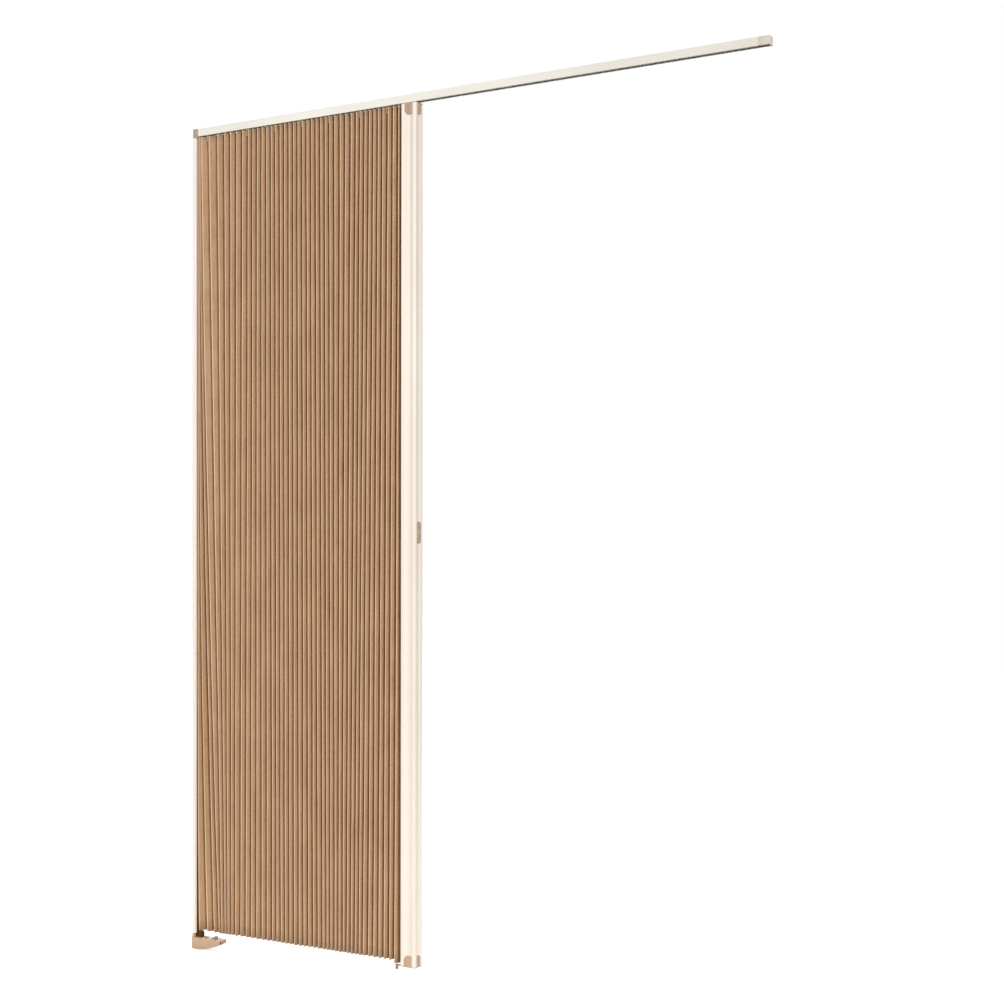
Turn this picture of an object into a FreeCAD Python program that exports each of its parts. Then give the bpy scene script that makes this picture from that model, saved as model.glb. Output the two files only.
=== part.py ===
import FreeCAD, Part
import math
import os

# A pleated sliding partition: a head rail under the ceiling, a wall jamb on a foot, and a pleated sheet
# that hangs from runners in the rail and is drawn out by a fluted lead stile.
# Millimetres. The origin is the centre of the head rail's top face, +X runs along the rail from the wall
# to its free end, +Y is to the back and +Z is up. The sheet is half drawn out.

# Overall sizes
OVERALL_WIDTH = 1500.0
OVERALL_HEIGHT = 2000.0
STILE_REST = 620.0  # from the wall to the stile's near face

# Fits
SNUG = 0.1  # a push fit between mouldings
RUNNING = 0.05  # a shaft in its bore
SLIDING = 0.4  # a strip in its channel
SEAT = 0.15  # a runner over the rail's ledges
OVERRUN = 5.0  # how far a cut passes the face that it opens

# Head rail
RAIL_HEIGHT = 18.0
RAIL_DEPTH = 18.0
RAIL_WALL = 1.3
RAIL_SLOT = 8.0
RAIL_ROUND = 0.8
CEILING_HOLE_R = 2.25
CEILING_HOLE_INSET = 50.0  # from each end of the partition
CEILING_INNER_SHARE = 0.32  # of the width, between the inner holes

# Corner block and end cap
BLOCK_WIDTH = 13.5
BLOCK_HEIGHT = 22.0
BLOCK_ROUND = 1.5
BLOCK_SPIGOT = 12.0
CAP_LENGTH = 24.0
CAP_END_WALL = 2.0
TONGUE_LENGTH = 14.0
TONGUE_WIDTH = 12.0
TONGUE_THICK = 2.0

# Wall jamb
JAMB_WIDTH = 10.0
JAMB_DEPTH = 24.0
JAMB_WALL = 1.4
JAMB_MOUTH = 12.0
JAMB_ROUND = 1.0
WALL_HOLE_R = 2.25
WALL_HOLE_INSET = 145.0  # from each end of the jamb
WALL_INNER_SHARE = 0.25  # of the jamb, between the inner holes

# Foot: a shoe over an inner bracket
FOOT_LENGTH = 88.0
FOOT_DEPTH = 28.0
FOOT_HEIGHT = 28.0
FOOT_WALL = 2.5
FOOT_PAD = 24.0  # the length that stands on the floor
FOOT_KNEE_LENGTH = 71.0  # from the wall to where the underside turns up
FOOT_KNEE_HEIGHT = 11.0
FOOT_MOUTH_HEIGHT = 20.0
FOOT_ROUND = 2.0
HEEL_LENGTH = 6.0
HEEL_HEIGHT = 38.0
WINDOW_WIDTH = 13.0
FIRST_WINDOW_START = 29.0
FIRST_WINDOW_LENGTH = 13.0
SECOND_WINDOW_START = 53.0
SECOND_WINDOW_LENGTH = 7.0
BRACKET_LENGTH = 25.0
BRACKET_WIDTH = 10.0
BRACKET_HEIGHT = 43.0
BRACKET_CHAMFER = 3.0
SPIGOT_DEPTH = 4.0
SPIGOT_HEIGHT = 14.0

# Screw and buffer on the foot
FOOT_SCREW_X = 47.5
FOOT_SCREW_R = 1.6
FOOT_SCREW_LENGTH = 12.0
FOOT_SCREW_HEAD_R = 3.0
FOOT_SCREW_HEAD = 1.2
BUFFER_X = 67.0
BUFFER_R = 4.5
BUFFER_HEIGHT = 7.0
BUFFER_STEM_R = 2.0
BUFFER_STEM = 8.0

# Pleated sheet: runs of pleats that stand alike, from the wall on, each with its pitch against the mean
STRETCH_COUNTS = (3, 3, 4, 5, 14, 4, 6, 4)
STRETCH_SHARES = (0.16, 1.66, 1.33, 0.99, 0.94, 1.11, 0.87, 1.02)
PANEL_WIDTH = 18.8  # the cloth between two folds
CLOTH_THICK = 0.6
CLOTH_TAB = 3.4
CLOTH_TOP_GAP = 4.5
CLOTH_FLOOR_GAP = 44.0
FRONT_FOLD_SHARE = 0.25  # where a pleat's front fold lies in its pitch
BACK_FOLD_SHARE = 0.75

# Strips that hold the sheet's ends
STRIP_BASE = 2.0
STRIP_SLIT_DEPTH = 3.2
STRIP_GAP = 0.6  # from a strip's face to the sheet's first bend
STRIP_FLOOR_GAP = 46.0

# Runners
PLEATS_PER_RUNNER = 6
RUNNER_PLEAT = 3  # whole pleats from the group's start to the one that the runner holds
RUNNER_LENGTH = 7.0
RUNNER_HEIGHT = 4.5
RUNNER_ROUND = 1.5
RUNNER_NECK_LENGTH = 5.0
RUNNER_NECK_DROP = 1.5
RUNNER_PLATE = 1.0
RUNNER_PLATE_DROP = 14.0

# Lead stile
STILE_WIDTH = 40.0
STILE_DEPTH = 30.0
STILE_ROUND = 2.5
STILE_WALL = 1.6
STILE_TOP_GAP = 2.0
STILE_FLOOR_GAP = 41.0
FLUTE_WIDTH = 23.0
FLUTE_LIP = 9.0  # from the stile's near face to the flute
FLUTE_DEPTH = 2.4
EDGE_FLUTE_WIDTH = 16.0
CHANNEL_LIP = 1.8
CHANNEL_MOUTH = 12.0
CHANNEL_WIDTH = 18.0
CHANNEL_DEPTH = 4.5

# Stile caps
STILE_CAP_PLATE = 1.5
STILE_CAP_PLUG = 20.0
CAP_TONGUE_HEIGHT = 25.0
CAP_TONGUE_INSET = 0.6
CAP_TONGUE_CHAMFER = 8.0
EDGE_TONGUE_CROWN = 4.0

# Screws of the caps
CAP_SCREW_R = 1.4
CAP_SCREW_LENGTH = 9.0
CAP_SCREW_HEAD_R = 2.8
CAP_SCREW_HEAD = 1.6
CAP_SCREW_DEPTH = 6.0  # from the stile's end to the first screw
CAP_SCREW_SPACING = 8.0

# Catch in the closing edge
CATCH_HEIGHT = 49.0
CATCH_FLOOR_HEIGHT = 1016.0
CATCH_CROWN = 3.0
CATCH_SCREW_R = 1.5
CATCH_SCREW_LENGTH = 9.0
CATCH_HEAD_R = 2.4
CATCH_HEAD = 1.2
MAGNET_LENGTH = 14.0
MAGNET_WIDTH = 9.0
MAGNET_THICK = 4.0
MAGNET_OFFSET = 13.0  # from the catch's middle to a magnet's middle

# Lead carriage
CARRIAGE_LENGTH = 24.0
CARRIAGE_WIDTH = 7.0
CARRIAGE_ROUND = 1.2
CARRIAGE_OVER_WHEEL = 0.45
WHEEL_R = 4.5
WHEEL_WIDTH = 2.9
WHEEL_BASE = 14.0
WHEEL_SIDE_GAP = 0.9  # from the carriage's flank to a wheel
WHEEL_CHAMFER = 0.5
AXLE_R = 1.25
BOLT_R = 3.0
BOLT_HEAD_R = 5.0
BOLT_HEAD = 2.5
BOLT_DEPTH = 19.0  # into the top cap
NUT_FLATS = 10.0
NUT_THICK = 5.0
NUT_DEPTH = 9.0  # from the top cap's face to the nut

# Stop finger
FINGER_REACH = 19.0
FINGER_R = 3.4
FINGER_NECK_R = 2.0
FINGER_TIP_R = 1.8
FINGER_DROP = 9.5
FINGER_TAPER = 4.0
FINGER_TIP = 2.2
ARM_WIDTH = 7.0
ARM_THICK = 2.5
ARM_ROOT = 24.0
ARM_SCREW_R = 1.6
ARM_SCREW_LENGTH = 10.0
ARM_SCREW_HEAD_R = 2.9
ARM_SCREW_HEAD = 1.4
ARM_SCREW_INSET = 19.0  # from the stile's near face

# Places that follow from the sizes
WALL_X = -OVERALL_WIDTH / 2
FREE_X = OVERALL_WIDTH / 2
FLOOR_Z = -OVERALL_HEIGHT
RAIL_BOTTOM = -RAIL_HEIGHT
LEDGE_Z = RAIL_BOTTOM + RAIL_WALL
RAIL_INNER = RAIL_DEPTH / 2 - RAIL_WALL
RAIL_START = WALL_X + BLOCK_WIDTH
RAIL_END = FREE_X - CAP_LENGTH
JAMB_FACE = WALL_X + JAMB_WIDTH
FOOT_TOP = FLOOR_Z + FOOT_HEIGHT
FOOT_END = WALL_X + FOOT_LENGTH
HEEL_TOP = FLOOR_Z + HEEL_HEIGHT
JAMB_HEIGHT = -BLOCK_HEIGHT - HEEL_TOP
STILE_X = WALL_X + STILE_REST
STILE_FACE = STILE_X + STILE_WIDTH
STILE_MIDDLE = STILE_X + STILE_WIDTH / 2
STILE_TOP = RAIL_BOTTOM - STILE_TOP_GAP
STILE_BOTTOM = FLOOR_Z + STILE_FLOOR_GAP
PROFILE_TOP = STILE_TOP - STILE_CAP_PLATE
PROFILE_BOTTOM = STILE_BOTTOM + STILE_CAP_PLATE
CHANNEL_BACK = STILE_X + CHANNEL_LIP + CHANNEL_DEPTH
CAVITY_START = CHANNEL_BACK + STILE_WALL
CAVITY_END = STILE_FACE - FLUTE_DEPTH - STILE_WALL
CAVITY_HALF = STILE_DEPTH / 2 - FLUTE_DEPTH - STILE_WALL
CATCH_Z = FLOOR_Z + CATCH_FLOOR_HEIGHT
CLOTH_TOP = RAIL_BOTTOM - CLOTH_TOP_GAP
CLOTH_BOTTOM = FLOOR_Z + CLOTH_FLOOR_GAP
STRIP_FACE = WALL_X + BLOCK_WIDTH
CLOTH_START = STRIP_FACE + STRIP_GAP
CLOTH_END = STILE_X - STRIP_GAP
PLEAT_SHARES = [s for count, s in zip(STRETCH_COUNTS, STRETCH_SHARES) for _ in range(count)]
PLEAT_COUNT = len(PLEAT_SHARES)
SHARE_PITCH = (CLOTH_END - CLOTH_START) / sum(PLEAT_SHARES)
RUNNER_COUNT = PLEAT_COUNT // PLEATS_PER_RUNNER
AXLE_Z = LEDGE_Z + WHEEL_R + RUNNING
PARALLEL_SHARE = 0.999
NUT_SIDES = 6
FULL_TURN = 360.0
CARRIAGE_TOP = AXLE_Z + WHEEL_R + CARRIAGE_OVER_WHEEL

X = FreeCAD.Vector(1, 0, 0)
Y = FreeCAD.Vector(0, 1, 0)
Z = FreeCAD.Vector(0, 0, 1)


def at(x, y, z):
    return FreeCAD.Vector(x, y, z)


def block(x, y, z):
    """A box between the two values of each axis."""
    low = at(min(x), min(y), min(z))
    return Part.makeBox(max(x) - low.x, max(y) - low.y, max(z) - low.z, low)


def both(half):
    return (-half, half)


def rod(radius, start, along, length):
    return Part.makeCylinder(radius, length, start, along)


def prism(points, along):
    """A solid with straight sides: an outline of points, swept by a vector."""
    wire = Part.makePolygon(list(points) + [points[0]])
    return Part.Face(wire).extrude(along)


def swept_outline(edges, along):
    return Part.Face(Part.Wire(edges)).extrude(along)


def edges_along(shape, axis):
    return [
        e for e in shape.Edges
        if len(e.Vertexes) == 2
        and e.Curve.TypeId == "Part::GeomLine"
        and abs(e.tangentAt(e.FirstParameter).dot(axis)) > PARALLEL_SHARE
    ]


def rounded(shape, radius, axis):
    """The shape with its straight edges along an axis rounded."""
    return shape.makeFillet(radius, edges_along(shape, axis))


def save(name, *solids):
    shape = solids[0] if len(solids) == 1 else Part.makeCompound(list(solids))
    shape.exportStep(f"parts/{name}.step")


# Head rail, corner block and end cap


def rail_section(start, end):
    """The rail's C-section with its slot at the bottom, between two places along the rail."""
    outer = rounded(block((start, end), both(RAIL_DEPTH / 2), (RAIL_BOTTOM, 0)), RAIL_ROUND, X)
    inside = block((start - OVERRUN, end + OVERRUN), both(RAIL_INNER), (LEDGE_Z, -RAIL_WALL))
    slot = block((start - OVERRUN, end + OVERRUN), both(RAIL_SLOT / 2), (RAIL_BOTTOM - OVERRUN, LEDGE_Z))
    return outer.cut(inside).cut(slot)


def rail_tongue(end, inward):
    """A flat tongue under the rail's top wall, which holds a fitting on the rail's end."""
    top = -RAIL_WALL - SNUG
    reach = end + inward * TONGUE_LENGTH
    tongue = block((end, reach), both(TONGUE_WIDTH / 2), (top - TONGUE_THICK, top))
    root_end = end - inward * TONGUE_THICK
    root = block((root_end, end), both(TONGUE_WIDTH / 2), (top - TONGUE_THICK, -RAIL_WALL / 2))
    return tongue.fuse(root)


def head_rail():
    rail = rail_section(RAIL_START, RAIL_END)
    for spacing in (OVERALL_WIDTH - 2 * CEILING_HOLE_INSET, OVERALL_WIDTH * CEILING_INNER_SHARE):
        for x in both(spacing / 2):
            rail = rail.cut(rod(CEILING_HOLE_R, at(x, 0, -RAIL_WALL - OVERRUN), Z, RAIL_WALL + 2 * OVERRUN))
    return rail


def rail_corner_block():
    body = block((WALL_X, WALL_X + BLOCK_WIDTH), both(JAMB_DEPTH / 2), (-BLOCK_HEIGHT, 0))
    body = rounded(body, BLOCK_ROUND, Z)
    inner = JAMB_DEPTH / 2 - JAMB_WALL - SNUG
    spigot = block(
        (WALL_X + JAMB_WALL + SNUG, JAMB_FACE - JAMB_WALL - STRIP_BASE - 2 * SLIDING),
        both(inner),
        (-BLOCK_HEIGHT - BLOCK_SPIGOT, -BLOCK_HEIGHT),
    )
    return body.fuse(spigot).fuse(rail_tongue(RAIL_START, 1)).removeSplitter()


def rail_end_cap():
    sleeve = rail_section(RAIL_END, FREE_X - CAP_END_WALL)
    wall = rounded(
        block((FREE_X - CAP_END_WALL, FREE_X), both(RAIL_DEPTH / 2), (RAIL_BOTTOM, 0)), RAIL_ROUND, X
    )
    return sleeve.fuse(wall).fuse(rail_tongue(RAIL_END, -1)).removeSplitter()


# Wall jamb, foot and bracket


def wall_jamb():
    """A channel whose mouth faces the sheet, with lips that hold the sheet's strip."""
    jamb = block((WALL_X, JAMB_FACE), both(JAMB_DEPTH / 2), (HEEL_TOP, -BLOCK_HEIGHT))
    jamb = rounded(jamb, JAMB_ROUND, Z)
    span = (HEEL_TOP - OVERRUN, -BLOCK_HEIGHT + OVERRUN)
    inside = block((WALL_X + JAMB_WALL, JAMB_FACE - JAMB_WALL), both(JAMB_DEPTH / 2 - JAMB_WALL), span)
    mouth = block((JAMB_FACE - JAMB_WALL, JAMB_FACE + OVERRUN), both(JAMB_MOUTH / 2), span)
    jamb = jamb.cut(inside).cut(mouth)
    middle = HEEL_TOP + JAMB_HEIGHT / 2
    for spacing in (JAMB_HEIGHT - 2 * WALL_HOLE_INSET, JAMB_HEIGHT * WALL_INNER_SHARE):
        for rise in both(spacing / 2):
            start = at(WALL_X - OVERRUN, 0, middle + rise)
            jamb = jamb.cut(rod(WALL_HOLE_R, start, X, JAMB_WALL + 2 * OVERRUN))
    return jamb


def cloth_strip(face, base_end, inward, base_half, neck_half, bottom, top):
    """A strip with a base behind the channel's lips and a slit in its face for the sheet's end."""
    base = block((base_end, base_end + inward * STRIP_BASE), both(base_half), (bottom, top))
    neck = block((face, base_end), both(neck_half), (bottom, top))
    slit = block(
        (face - inward * OVERRUN, face + inward * STRIP_SLIT_DEPTH),
        both(CLOTH_THICK / 2 + RUNNING),
        (bottom - OVERRUN, top + OVERRUN),
    )
    return base.fuse(neck).removeSplitter().cut(slit)


def jamb_cloth_strip():
    return cloth_strip(
        STRIP_FACE,
        JAMB_FACE - JAMB_WALL - SLIDING / 2,
        -1,
        JAMB_DEPTH / 2 - JAMB_WALL - SLIDING,
        JAMB_MOUTH / 2 - SLIDING,
        FLOOR_Z + STRIP_FLOOR_GAP,
        -BLOCK_HEIGHT,
    )


def underside(lift):
    """The line of the foot's underside from its pad to its knee, raised by a lift."""
    return [
        at(WALL_X + FOOT_PAD, 0, FLOOR_Z + lift),
        at(WALL_X + FOOT_KNEE_LENGTH, 0, FLOOR_Z + FOOT_KNEE_HEIGHT + lift),
    ]


def foot_slab(outline, half):
    """A solid of an outline in the foot's middle plane, with a half depth to each side."""
    return prism([p - Y * half for p in outline], Y * (2 * half))


def foot_drill(radius, x, top, depth):
    return rod(radius, at(WALL_X + x, 0, top), Z * -1, depth)


def foot():
    """A hollow shoe that rises to an open mouth, with windows in its roof and a spigot for the jamb."""
    outline = [at(WALL_X, 0, FLOOR_Z)] + underside(0) + [
        at(FOOT_END, 0, FLOOR_Z + FOOT_MOUTH_HEIGHT),
        at(FOOT_END, 0, FOOT_TOP),
        at(WALL_X, 0, FOOT_TOP),
    ]
    shoe = rounded(foot_slab(outline, FOOT_DEPTH / 2), FOOT_ROUND, Z)
    heel = block((WALL_X, WALL_X + HEEL_LENGTH), both(JAMB_DEPTH / 2), (FOOT_TOP - FOOT_WALL, HEEL_TOP))
    spigot_start = WALL_X + JAMB_WALL + SNUG
    spigot = block(
        (spigot_start, spigot_start + SPIGOT_DEPTH),
        both(JAMB_DEPTH / 2 - JAMB_WALL - SNUG),
        (HEEL_TOP, HEEL_TOP + SPIGOT_HEIGHT),
    )
    shoe = shoe.fuse(rounded(heel, JAMB_ROUND, Z)).fuse(spigot).removeSplitter()
    inside = FOOT_DEPTH / 2 - FOOT_WALL
    front = WALL_X + HEEL_LENGTH
    roof = FOOT_TOP - FOOT_WALL
    hollow = [at(front, 0, FLOOR_Z + FOOT_WALL)] + underside(FOOT_WALL) + [
        at(WALL_X + FOOT_KNEE_LENGTH, 0, FLOOR_Z),
        at(FOOT_END + OVERRUN, 0, FLOOR_Z),
        at(FOOT_END + OVERRUN, 0, roof),
        at(front, 0, roof),
    ]
    shoe = shoe.cut(foot_slab(hollow, inside))
    windows = (
        (HEEL_LENGTH, BRACKET_LENGTH + SNUG, BRACKET_WIDTH / 2 + SNUG),
        (FIRST_WINDOW_START, FIRST_WINDOW_START + FIRST_WINDOW_LENGTH, WINDOW_WIDTH / 2),
        (SECOND_WINDOW_START, SECOND_WINDOW_START + SECOND_WINDOW_LENGTH, WINDOW_WIDTH / 2),
    )
    for start, end, half in windows:
        span = (WALL_X + start, WALL_X + end)
        shoe = shoe.cut(block(span, both(half), (roof - FOOT_WALL, FOOT_TOP + OVERRUN)))
    shoe = shoe.cut(foot_drill(FOOT_SCREW_R + RUNNING, FOOT_SCREW_X, FOOT_TOP, FOOT_SCREW_LENGTH))
    return shoe.cut(foot_drill(BUFFER_STEM_R + RUNNING, BUFFER_X, FOOT_TOP, BUFFER_STEM))


def foot_bracket():
    """A bar inside the shoe, with an upright that carries the jamb's front."""
    front = WALL_X + HEEL_LENGTH + SNUG
    top = FOOT_TOP - FOOT_WALL - SNUG
    bar = [at(front, 0, FLOOR_Z + FOOT_WALL + SNUG)] + underside(FOOT_WALL + SNUG) + [
        at(WALL_X + FOOT_KNEE_LENGTH, 0, top),
        at(front, 0, top),
    ]
    bracket = foot_slab(bar, FOOT_DEPTH / 2 - FOOT_WALL - SNUG)
    end = WALL_X + BRACKET_LENGTH
    high = FLOOR_Z + BRACKET_HEIGHT
    upright = [
        at(front, 0, top - FOOT_WALL),
        at(end, 0, top - FOOT_WALL),
        at(end, 0, high - BRACKET_CHAMFER),
        at(end - BRACKET_CHAMFER, 0, high),
        at(JAMB_FACE + SNUG, 0, high),
        at(JAMB_FACE + SNUG, 0, HEEL_TOP),
        at(front, 0, HEEL_TOP),
    ]
    bracket = bracket.fuse(foot_slab(upright, BRACKET_WIDTH / 2)).removeSplitter()
    bracket = bracket.cut(foot_drill(FOOT_SCREW_R + RUNNING, FOOT_SCREW_X, FOOT_TOP, FOOT_SCREW_LENGTH))
    return bracket.cut(foot_drill(BUFFER_STEM_R + RUNNING, BUFFER_X, FOOT_TOP, BUFFER_STEM))


def foot_screw():
    head = rod(FOOT_SCREW_HEAD_R, at(WALL_X + FOOT_SCREW_X, 0, FOOT_TOP), Z, FOOT_SCREW_HEAD)
    return head.fuse(foot_drill(FOOT_SCREW_R, FOOT_SCREW_X, FOOT_TOP, FOOT_SCREW_LENGTH)).removeSplitter()


def foot_buffer():
    """A button on the foot that the stile's finger meets when the sheet is folded."""
    button = rod(BUFFER_R, at(WALL_X + BUFFER_X, 0, FOOT_TOP), Z, BUFFER_HEIGHT)
    return button.fuse(foot_drill(BUFFER_STEM_R, BUFFER_X, FOOT_TOP, BUFFER_STEM)).removeSplitter()


# Pleated sheet and runners


def ribbon(line, thick):
    """The outline of a strip of even thickness that follows a line in plan, with blunt folds."""
    runs = [(b - a).normalize() for a, b in zip(line, line[1:])]
    offsets = [at(-run.y, run.x, 0) * (thick / 2) for run in runs]
    sides = {1: [line[0] + offsets[0]], -1: [line[0] - offsets[0]]}
    for i, point in enumerate(line[1:-1]):
        before, after = offsets[i], offsets[i + 1]
        inner = 1 if runs[i].cross(runs[i + 1]).z > 0 else -1
        mitre = (before + after) * (1 / (1 + runs[i].dot(runs[i + 1])))
        sides[inner].append(point + mitre * inner)
        sides[-inner] += [point - before * inner, point - after * inner]
    for side in sides:
        sides[side].append(line[-1] + offsets[-1] * side)
    return sides[1] + sides[-1][::-1]


def pitch(pleat):
    return SHARE_PITCH * PLEAT_SHARES[pleat]


def pleat_depth(pleat):
    """How deep a pleat stands: its panels keep their width however far it is drawn out."""
    return math.sqrt(PANEL_WIDTH**2 - pitch(pleat) ** 2 / 4)


def fold(pleat, share, side):
    """The place of a pleat's fold: a share of its pitch along the rail, to one side of the rail."""
    x = CLOTH_START + SHARE_PITCH * sum(PLEAT_SHARES[:pleat]) + pitch(pleat) * share
    return at(x, side * pleat_depth(pleat) / 2, CLOTH_BOTTOM)


def front_fold(pleat):
    return fold(pleat, FRONT_FOLD_SHARE, -1)


def back_fold(pleat):
    return fold(pleat, BACK_FOLD_SHARE, 1)


def seam(pleat):
    """Where a group starts with a pleat: the middle of the panel that it shares with the one before."""
    if pleat == 0:
        return at(CLOTH_START, 0, CLOTH_BOTTOM)
    if pleat == PLEAT_COUNT:
        return at(CLOTH_END, 0, CLOTH_BOTTOM)
    return (back_fold(pleat - 1) + front_fold(pleat)) / 2


def pleats(group):
    """The pleats of a runner, from mid panel to mid panel; the end groups have a tab in a strip."""
    first = group * PLEATS_PER_RUNNER
    end = PLEAT_COUNT if group == RUNNER_COUNT - 1 else first + PLEATS_PER_RUNNER
    line = [seam(first)]
    for pleat in range(first, end):
        line += [front_fold(pleat), back_fold(pleat)]
    line.append(seam(end))
    if first == 0:
        line.insert(0, line[0] - X * CLOTH_TAB)
    if end == PLEAT_COUNT:
        line.append(line[-1] + X * CLOTH_TAB)
    return prism(ribbon(line, CLOTH_THICK), Z * (CLOTH_TOP - CLOTH_BOTTOM))


def runner(group):
    """A glider on the rail's ledges, with a neck through the slot and a plate in a back fold."""
    pleat = group * PLEATS_PER_RUNNER + RUNNER_PLEAT
    x = back_fold(pleat).x
    low = LEDGE_Z + SEAT
    glider = block(
        (x - RUNNER_LENGTH / 2, x + RUNNER_LENGTH / 2),
        both(RAIL_INNER - SLIDING),
        (low, low + RUNNER_HEIGHT),
    )
    glider = rounded(glider, RUNNER_ROUND, Z)
    neck_half = RAIL_SLOT / 2 - SLIDING
    neck_low = RAIL_BOTTOM - RUNNER_NECK_DROP
    neck = block((x - RUNNER_NECK_LENGTH / 2, x + RUNNER_NECK_LENGTH / 2), both(neck_half), (neck_low, low))
    slope = pitch(pleat) / 2 / pleat_depth(pleat)
    skin = CLOTH_THICK / 2 * math.sqrt(1 + slope**2)
    wedge = (RUNNER_PLATE / 2 + RUNNING + skin) / slope
    plate = block(
        (x - RUNNER_PLATE / 2, x + RUNNER_PLATE / 2),
        (-neck_half, back_fold(pleat).y - wedge),
        (neck_low - RUNNER_PLATE_DROP, neck_low),
    )
    return glider.fuse(neck).fuse(plate).removeSplitter()


# Lead stile


def flute_radius(width, depth):
    return (width**2 / 4 + depth**2) / (2 * depth)


def flute_rod(width, low, high, ease=0.0):
    """The round bar that scoops a flute out of a face at y = 0, whose solid is on the +y side."""
    radius = flute_radius(width, FLUTE_DEPTH)
    return rod(radius - ease, at(0, FLUTE_DEPTH - radius, low), Z, high - low)


def on_face(shape, x, y, turn):
    """Moves a shape from the face at y = 0 to a face of the stile."""
    placed = shape.copy()
    placed.rotate(at(0, 0, 0), Z, turn)
    placed.translate(at(x, y, 0))
    return placed


FRONT = (STILE_X + FLUTE_LIP + FLUTE_WIDTH / 2, -STILE_DEPTH / 2, 0)
BACK = (STILE_X + FLUTE_LIP + FLUTE_WIDTH / 2, STILE_DEPTH / 2, 180)
EDGE = (STILE_FACE, 0, 90)


def lead_stile():
    """A hollow extrusion with a flute in three faces and a lipped channel towards the sheet."""
    stile = block((STILE_X, STILE_FACE), both(STILE_DEPTH / 2), (PROFILE_BOTTOM, PROFILE_TOP))
    stile = rounded(stile, STILE_ROUND, Z)
    low, high = PROFILE_BOTTOM - OVERRUN, PROFILE_TOP + OVERRUN
    for face, width in ((FRONT, FLUTE_WIDTH), (BACK, FLUTE_WIDTH), (EDGE, EDGE_FLUTE_WIDTH)):
        stile = stile.cut(on_face(flute_rod(width, low, high), *face))
    mouth = block((STILE_X - OVERRUN, STILE_X + CHANNEL_LIP), both(CHANNEL_MOUTH / 2), (low, high))
    channel = block((STILE_X + CHANNEL_LIP, CHANNEL_BACK), both(CHANNEL_WIDTH / 2), (low, high))
    cavity = block((CAVITY_START, CAVITY_END), both(CAVITY_HALF), (low, high))
    stile = stile.cut(mouth).cut(channel).cut(cavity)
    for z in cap_screw_heights():
        stile = stile.cut(cap_screw_rod(CAP_SCREW_R + SNUG, z))
    for shape in magnets(SNUG):
        stile = stile.cut(shape)
    return stile.cut(catch_screw_rod(CATCH_SCREW_R + RUNNING))


def stile_cloth_strip():
    return cloth_strip(
        STILE_X,
        STILE_X + CHANNEL_LIP + SLIDING / 2,
        1,
        CHANNEL_WIDTH / 2 - SLIDING,
        CHANNEL_MOUTH / 2 - SLIDING,
        PROFILE_BOTTOM,
        PROFILE_TOP,
    )


def flute_tongue(width, outline):
    """A tongue that fills a flute flush with its face: an outline on the face, cut to the flute."""
    plate = swept_outline(outline, Y * FLUTE_DEPTH)
    height = STILE_CAP_PLATE + CAP_TONGUE_HEIGHT
    return plate.common(flute_rod(width, -OVERRUN, height + OVERRUN, SNUG))


def line_edges(points):
    return [Part.LineSegment(a, b).toShape() for a, b in zip(points, points[1:])]


def side_tongue(pleat_side):
    """The tongue of the front or back flute, with one corner of its free end cut off."""
    half = FLUTE_WIDTH / 2 - CAP_TONGUE_INSET
    high = STILE_CAP_PLATE + CAP_TONGUE_HEIGHT
    near, far = pleat_side * half, -pleat_side * half
    points = [
        at(far, 0, 0),
        at(near, 0, 0),
        at(near, 0, high - CAP_TONGUE_CHAMFER),
        at(near - pleat_side * CAP_TONGUE_CHAMFER, 0, high),
        at(far, 0, high),
        at(far, 0, 0),
    ]
    return flute_tongue(FLUTE_WIDTH, line_edges(points))


def edge_tongue():
    """The tongue of the closing edge's flute, with a crowned free end."""
    half = EDGE_FLUTE_WIDTH / 2 - CAP_TONGUE_INSET
    high = STILE_CAP_PLATE + CAP_TONGUE_HEIGHT
    left, right = at(-half, 0, high - EDGE_TONGUE_CROWN), at(half, 0, high - EDGE_TONGUE_CROWN)
    edges = line_edges([left, at(-half, 0, 0), at(half, 0, 0), right])
    edges.append(Part.Arc(right, at(0, 0, high), left).toShape())
    return flute_tongue(EDGE_FLUTE_WIDTH, edges)


def stile_cap():
    """A cap as it lies under the stile, with its outer face at z = 0."""
    plate = block(
        (STILE_X + SLIDING, STILE_FACE - SNUG), both(STILE_DEPTH / 2 - SNUG), (0, STILE_CAP_PLATE)
    )
    plate = rounded(plate, STILE_ROUND, Z)
    plug = block(
        (CAVITY_START + SNUG, CAVITY_END - SNUG),
        both(CAVITY_HALF - SNUG),
        (0, STILE_CAP_PLATE + STILE_CAP_PLUG),
    )
    cap = plate.fuse(plug)
    for tongue, face in ((side_tongue(-1), FRONT), (side_tongue(1), BACK), (edge_tongue(), EDGE)):
        reach = block(
            (STILE_X, STILE_FACE - SNUG), both(STILE_DEPTH / 2 - SNUG), (0, STILE_CAP_PLATE + CAP_TONGUE_HEIGHT)
        )
        cap = cap.fuse(on_face(tongue, *face).common(reach))
    return cap.removeSplitter()


def cap_screw_heights():
    depths = (CAP_SCREW_DEPTH, CAP_SCREW_DEPTH + CAP_SCREW_SPACING)
    return [z for depth in depths for z in (PROFILE_BOTTOM + depth, PROFILE_TOP - depth)]


def cap_screw_rod(radius, z):
    return rod(radius, at(CHANNEL_BACK, 0, z), X, CAP_SCREW_LENGTH)


def cap_screw(z):
    head = rod(CAP_SCREW_HEAD_R, at(CHANNEL_BACK, 0, z), X * -1, CAP_SCREW_HEAD)
    return cap_screw_rod(CAP_SCREW_R, z).fuse(head).removeSplitter()


def with_screw_holes(cap):
    for z in cap_screw_heights():
        cap = cap.cut(cap_screw_rod(CAP_SCREW_R + RUNNING, z))
    return cap


def stile_bottom_cap():
    cap = stile_cap()
    cap.translate(at(0, 0, STILE_BOTTOM))
    return with_screw_holes(cap).cut(arm_screw_rod(ARM_SCREW_R + RUNNING))


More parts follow.
